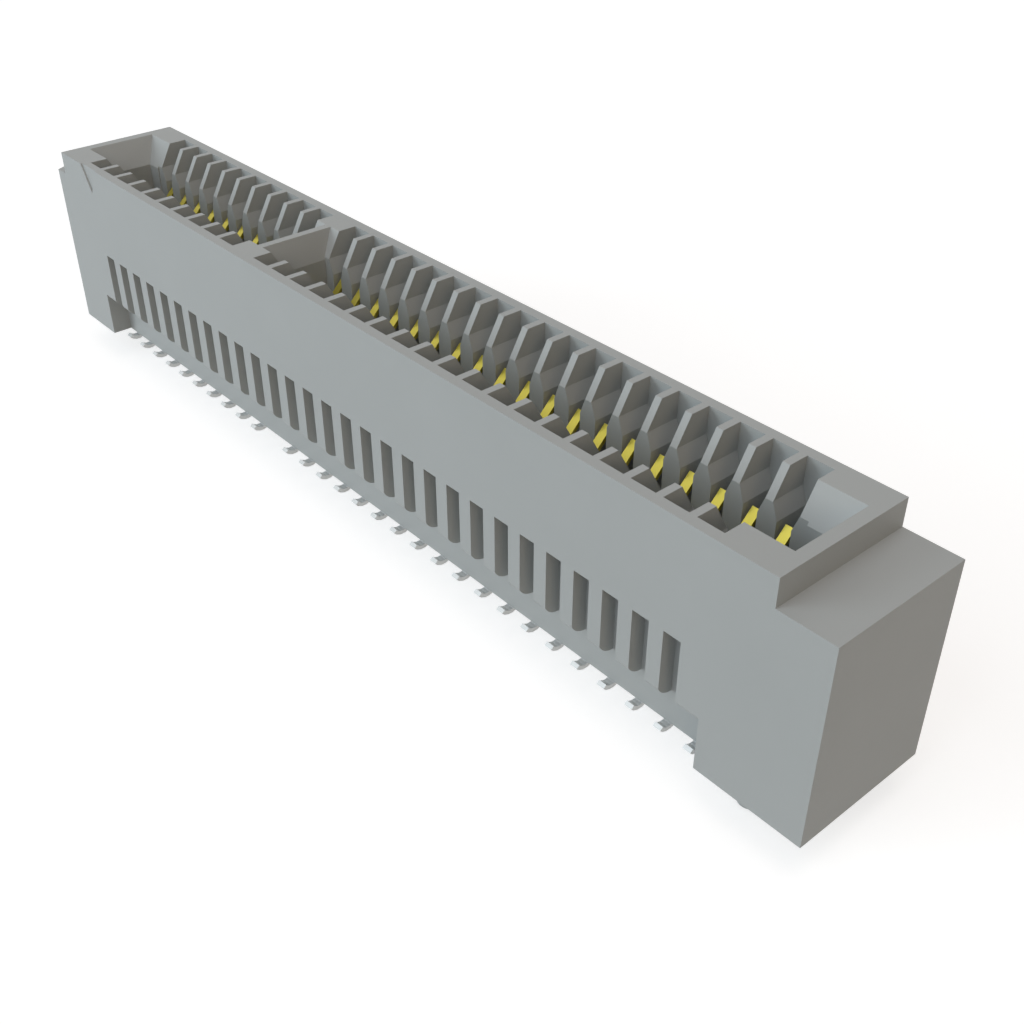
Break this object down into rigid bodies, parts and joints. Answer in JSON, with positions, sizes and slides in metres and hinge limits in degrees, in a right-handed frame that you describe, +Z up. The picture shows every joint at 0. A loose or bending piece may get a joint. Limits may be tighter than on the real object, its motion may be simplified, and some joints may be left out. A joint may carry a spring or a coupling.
{
  "type": "card edge connector",
  "caption": "Vertical surface mount socket for the edge of a plug-in card, with two rows of sprung contacts in a keyed moulded housing on pegged feet.",
  "frame": {"origin": "centre of the connector in plan, at the circuit board's surface, which is the plane of the undersides of the solder tails", "axes": "+Z up out of the card slot, +X along the slot away from position 1, +Y from the front row of contacts to the rear row"},
  "size_m": [0.0462, 0.0056, 0.0099],
  "materials": {
    "housing": "satin moulded",
    "contact": "gold plated, satin"
  },
  "bodies": {
    "root": {"housing": "housing", "contact_front_01": "contact", "contact_rear_01": "contact", "contact_front_02": "contact", "contact_rear_02": "contact", "contact_front_03": "contact", "contact_rear_03": "contact", "contact_front_04": "contact", "contact_rear_04": "contact", "contact_front_05": "contact", "contact_rear_05": "contact", "contact_front_06": "contact", "contact_rear_06": "contact", "contact_front_07": "contact", "contact_rear_07": "contact", "contact_front_08": "contact", "contact_rear_08": "contact", "contact_front_09": "contact", "contact_rear_09": "contact", "contact_front_10": "contact", "contact_rear_10": "contact", "contact_front_12": "contact", "contact_rear_12": "contact", "contact_front_13": "contact", "contact_rear_13": "contact", "contact_front_14": "contact", "contact_rear_14": "contact", "contact_front_15": "contact", "contact_rear_15": "contact", "contact_front_16": "contact", "contact_rear_16": "contact", "contact_front_17": "contact", "contact_rear_17": "contact", "contact_front_18": "contact", "contact_rear_18": "contact", "contact_front_19": "contact", "contact_rear_19": "contact", "contact_front_20": "contact", "contact_rear_20": "contact", "contact_front_21": "contact", "contact_rear_21": "contact", "contact_front_22": "contact", "contact_rear_22": "contact", "contact_front_23": "contact", "contact_rear_23": "contact", "contact_front_24": "contact", "contact_rear_24": "contact", "contact_front_25": "contact", "contact_rear_25": "contact", "contact_front_26": "contact", "contact_rear_26": "contact", "contact_front_27": "contact", "contact_rear_27": "contact", "contact_front_28": "contact", "contact_rear_28": "contact", "contact_front_29": "contact", "contact_rear_29": "contact", "contact_front_30": "contact", "contact_rear_30": "contact"}
  },
  "joints": []
}
